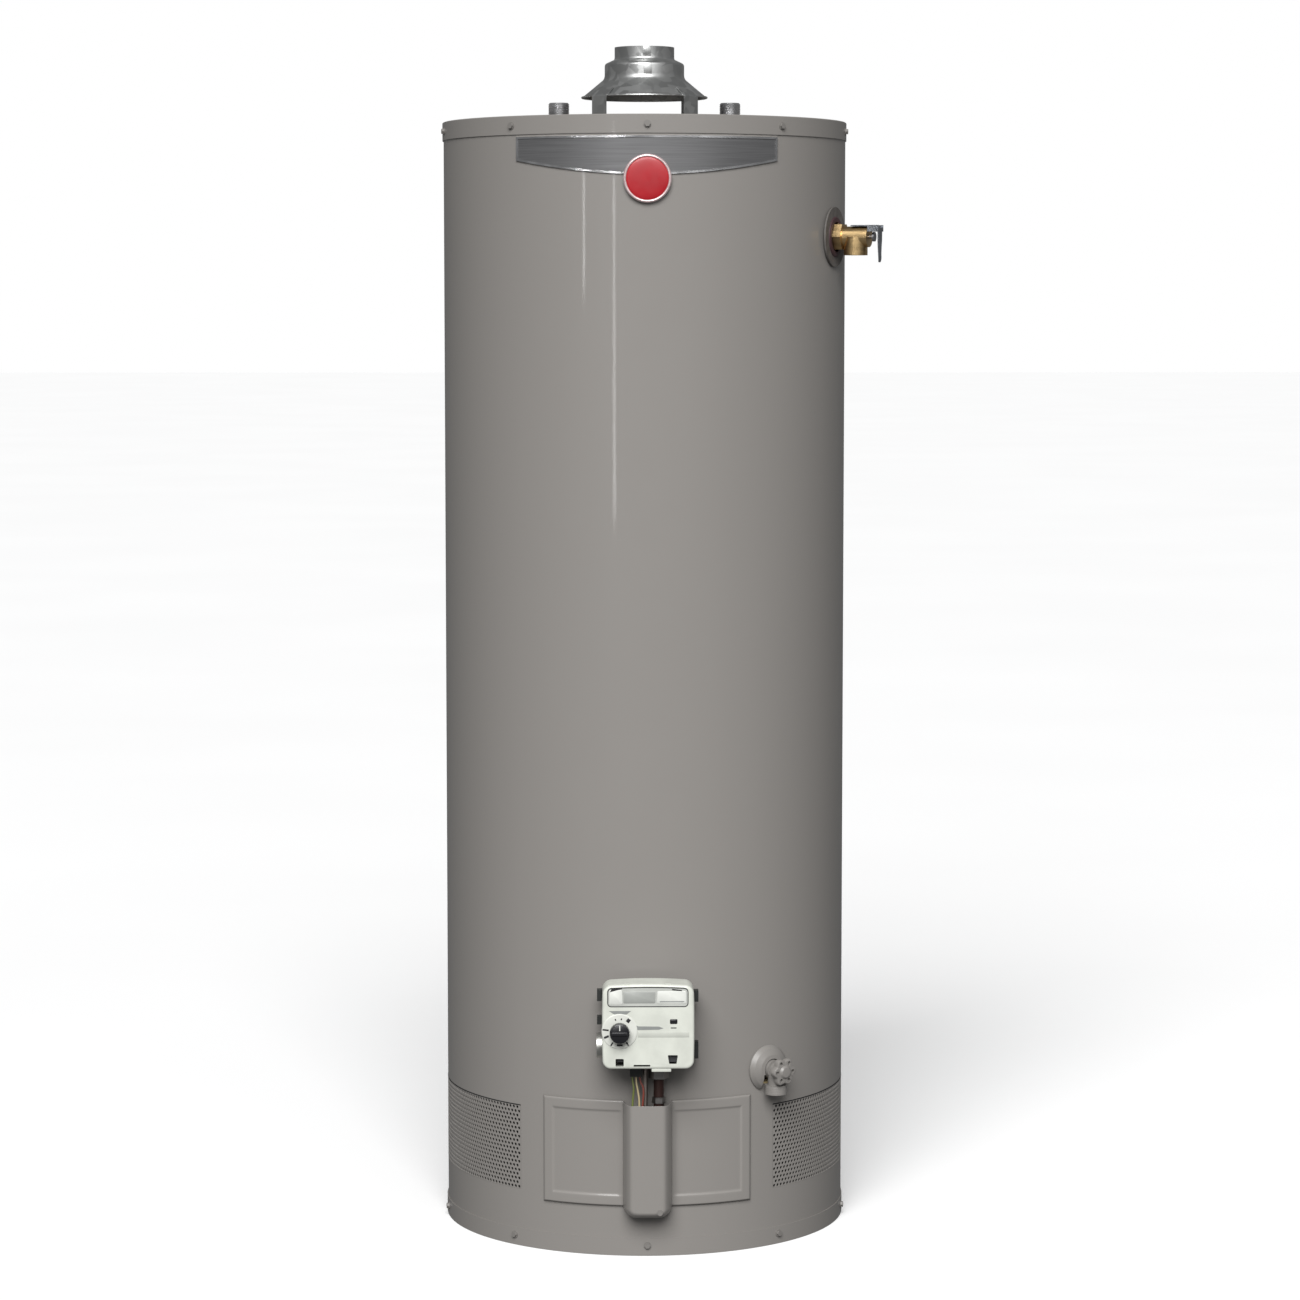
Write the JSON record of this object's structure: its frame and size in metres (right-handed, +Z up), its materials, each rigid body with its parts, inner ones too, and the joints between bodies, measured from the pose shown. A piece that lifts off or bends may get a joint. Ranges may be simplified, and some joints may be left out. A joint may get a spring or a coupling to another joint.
{
  "type": "tank water heater",
  "caption": "Tall gas storage water heater: painted round jacket, draft hood on strap legs, water nipples, relief valve, gas control, access door and drain valve.",
  "frame": {"origin": "centre of the base pan's underside, on the floor", "axes": "+Z up along the tank and flue axis; the gas control and access door face -Y; +X is the heater's left-hand side seen from behind, the right side in a front view"},
  "size_m": [0.5566, 0.6066, 1.5075],
  "materials": {
    "jacket_paint": "gloss",
    "zinc_screw": "satin",
    "badge_foil": "satin",
    "badge_chrome": "polished",
    "emblem_red": "gloss",
    "tank_steel": "satin",
    "foam": "matte",
    "raw_steel": "satin",
    "pipe_zinc": "polished",
    "white_plastic": "matte",
    "anode_metal": "satin",
    "gasket_rubber": "matte",
    "sight_glass": "gloss",
    "dark_tube": "satin",
    "brass": "satin",
    "pilot_metal": "satin",
    "wire_insulation": "satin",
    "dark_plastic": "satin",
    "dark_cast": "satin",
    "adapter_metal": "satin",
    "cover_plastic": "satin",
    "label_grey": "satin",
    "black_lens": "gloss",
    "dial_white": "matte",
    "knob_black": "satin",
    "probe_metal": "satin",
    "spring_steel": "satin",
    "stem_metal": "satin",
    "lever_steel": "satin",
    "drain_plastic": "satin",
    "galvanised": "spangled"
  },
  "bodies": {
    "root": {"base_pan": "jacket_paint", "base_screws": "zinc_screw", "jacket": "jacket_paint", "right_vent_panel": "jacket_paint", "left_vent_panel": "jacket_paint", "top_cover": "jacket_paint", "top_cover_screws": "zinc_screw", "badge_plate": "badge_foil", "badge_border": "badge_chrome", "badge_emblem": "emblem_red", "tank_shell": "tank_steel", "foam_insulation": "foam", "flue_tube": "tank_steel", "flue_baffle": "raw_steel", "cold_inlet_nipple": "pipe_zinc", "hot_outlet_nipple": "pipe_zinc", "dip_tube": "white_plastic", "anode_rod": "anode_metal", "combustion_skirt": "raw_steel", "combustion_floor": "raw_steel", "flame_arrestor": "raw_steel", "burner_lower": "raw_steel", "burner_upper": "raw_steel", "burner_bracket": "raw_steel", "pilot_assembly": "raw_steel", "inner_door_gasket": "gasket_rubber", "inner_door": "raw_steel", "inner_door_screws": "zinc_screw", "sight_glass": "sight_glass", "manifold_tube": "dark_tube", "manifold_fittings": "brass", "pilot_tube": "pilot_metal", "wire_harness": "wire_insulation", "wire_connector": "dark_plastic", "gas_valve_body": "dark_cast", "gas_inlet_adapter": "adapter_metal", "thermowell": "brass", "gas_valve_cover": "cover_plastic", "control_label_window": "label_grey", "status_window": "black_lens", "dial_plate": "dial_white", "gas_valve_clips": "dark_plastic", "tp_escutcheon": "gasket_rubber", "tp_valve_body": "brass", "tp_probe": "probe_metal", "tp_spring": "spring_steel", "tp_lever_bracket": "lever_steel", "tp_lever_pin": "lever_steel", "drain_escutcheon": "drain_plastic", "drain_valve_body": "drain_plastic", "draft_hood": "galvanised", "hood_legs": "galvanised"},
    "outer_door": {"outer_door": "jacket_paint", "door_screw": "zinc_screw"},
    "control_stem": {"control_stem": "dark_cast"},
    "control_knob": {"control_knob": "knob_black"},
    "tp_stem": {"tp_stem": "stem_metal"},
    "tp_lever": {"tp_lever": "lever_steel"},
    "drain_stem": {"drain_stem": "drain_plastic"},
    "drain_handle": {"drain_handle": "drain_plastic"}
  },
  "joints": [
    {"name": "door_pull_off", "type": "slide", "parent": "root", "child": "outer_door", "axis": [0, -1, 0], "range_m": [0, 0.15]},
    {"name": "knob_turn", "type": "hinge", "parent": "root", "child": "control_stem", "pos_m": [-0.035, -0.335, 0.297], "axis": [0, -1, 0], "range_deg": [0, 270]},
    {"name": "knob_push", "type": "slide", "parent": "control_stem", "child": "control_knob", "axis": [0, 1, 0], "range_m": [0, 0.005], "stiffness_N_per_m": 800, "springref_m": -0.002},
    {"name": "relief_stem_lift", "type": "slide", "parent": "root", "child": "tp_stem", "axis": [0.9205, -0.3907, 0], "range_m": [0, 0.004], "stiffness_N_per_m": 3000, "springref_m": -0.005, "deforming": ["tp_spring"]},
    {"name": "relief_lever_lift", "type": "hinge", "parent": "root", "child": "tp_lever", "pos_m": [0.29088, -0.12347, 1.275], "axis": [-0.3907, -0.9205, 0], "range_deg": [0, 90]},
    {"name": "drain_stem_travel", "type": "slide", "parent": "root", "child": "drain_stem", "axis": [0.5878, -0.809, 0], "range_m": [0, 0.0036]},
    {"name": "drain_handle_turn", "type": "hinge", "parent": "drain_stem", "child": "drain_handle", "pos_m": [0.16987, -0.23381, 0.227], "axis": [0.5878, -0.809, 0], "range_deg": [0, 720]}
  ],
  "couplings": [
    {"joint": "relief_lever_lift", "follows": "relief_stem_lift", "rad_per_m": 392.69},
    {"joint": "drain_handle_turn", "follows": "drain_stem_travel", "rad_per_m": 3490.6}
  ]
}
